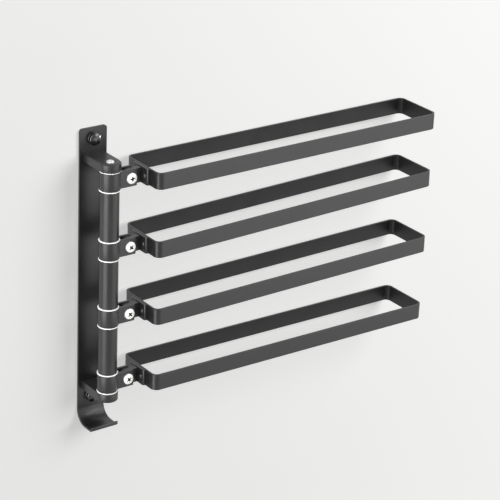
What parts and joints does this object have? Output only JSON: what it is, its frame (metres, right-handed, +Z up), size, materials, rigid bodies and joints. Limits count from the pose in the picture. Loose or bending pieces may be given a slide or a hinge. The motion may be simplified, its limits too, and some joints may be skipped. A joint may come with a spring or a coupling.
{
  "type": "swing arm towel rack",
  "caption": "Wall-mounted towel rack: slim plate with a hook at its foot, and flat-bar loop arms on fork knuckles that swing about an upright rod.",
  "frame": {"origin": "on the wall, midway between the two wall screws, at the back face of the plate", "axes": "+Z up, +Y into the wall, +X along the arms at rest"},
  "size_m": [0.378, 0.0869, 0.2991],
  "materials": {
    "black_frame": "satin black powder coat on steel",
    "black_arm": "satin black powder coat on steel bar",
    "black_screws": "black-plated steel",
    "bright_steel": "bright stainless steel, turned",
    "white_nylon": "white moulded nylon"
  },
  "bodies": {
    "wall_frame": {"back_plate": "black_frame", "upper_bracket": "black_frame", "lower_bracket": "black_frame", "upper_bracket_screws": "black_screws", "lower_bracket_screws": "black_screws", "pivot_rod": "bright_steel", "rod_screw": "bright_steel", "wall_screws": "black_screws", "spacer_sleeve_1": "black_frame", "spacer_sleeve_2": "black_frame", "spacer_sleeve_3": "black_frame"},
    "swivel_1": {"knuckle_1": "black_frame", "bushes_1": "white_nylon", "clamp_screw_1": "bright_steel", "clamp_nut_1": "bright_steel"},
    "arm_1": {"arm_bracket_1": "black_frame", "arm_rivets_1": "black_frame", "arm_loop_1": "black_arm"},
    "swivel_2": {"knuckle_2": "black_frame", "bushes_2": "white_nylon", "clamp_screw_2": "bright_steel", "clamp_nut_2": "bright_steel"},
    "arm_2": {"arm_bracket_2": "black_frame", "arm_rivets_2": "black_frame", "arm_loop_2": "black_arm"},
    "swivel_3": {"knuckle_3": "black_frame", "bushes_3": "white_nylon", "clamp_screw_3": "bright_steel", "clamp_nut_3": "bright_steel"},
    "arm_3": {"arm_bracket_3": "black_frame", "arm_rivets_3": "black_frame", "arm_loop_3": "black_arm"},
    "swivel_4": {"knuckle_4": "black_frame", "bushes_4": "white_nylon", "clamp_screw_4": "bright_steel", "clamp_nut_4": "bright_steel"},
    "arm_4": {"arm_bracket_4": "black_frame", "arm_rivets_4": "black_frame", "arm_loop_4": "black_arm"}
  },
  "joints": [
    {"name": "swing_1", "type": "hinge", "parent": "wall_frame", "child": "swivel_1", "pos_m": [0, -0.031, 0.09995], "axis": [0, 0, -1], "range_deg": [0, 180]},
    {"name": "tilt_1", "type": "hinge", "parent": "swivel_1", "child": "arm_1", "pos_m": [0.0193, -0.031, 0.09995], "axis": [0, -1, 0], "range_deg": [-4.1, 3.9]},
    {"name": "swing_2", "type": "hinge", "parent": "wall_frame", "child": "swivel_2", "pos_m": [0, -0.031, 0.03195], "axis": [0, 0, -1], "range_deg": [0, 180]},
    {"name": "tilt_2", "type": "hinge", "parent": "swivel_2", "child": "arm_2", "pos_m": [0.0193, -0.031, 0.03195], "axis": [0, -1, 0], "range_deg": [-5.28, 2.72]},
    {"name": "swing_3", "type": "hinge", "parent": "wall_frame", "child": "swivel_3", "pos_m": [0, -0.031, -0.03605], "axis": [0, 0, -1], "range_deg": [0, 180]},
    {"name": "tilt_3", "type": "hinge", "parent": "swivel_3", "child": "arm_3", "pos_m": [0.0193, -0.031, -0.03605], "axis": [0, -1, 0], "range_deg": [-4.7, 3.3]},
    {"name": "swing_4", "type": "hinge", "parent": "wall_frame", "child": "swivel_4", "pos_m": [0, -0.031, -0.10405], "axis": [0, 0, -1], "range_deg": [0, 180]},
    {"name": "tilt_4", "type": "hinge", "parent": "swivel_4", "child": "arm_4", "pos_m": [0.0193, -0.031, -0.10405], "axis": [0, -1, 0], "range_deg": [-3.6, 4.4]}
  ]
}
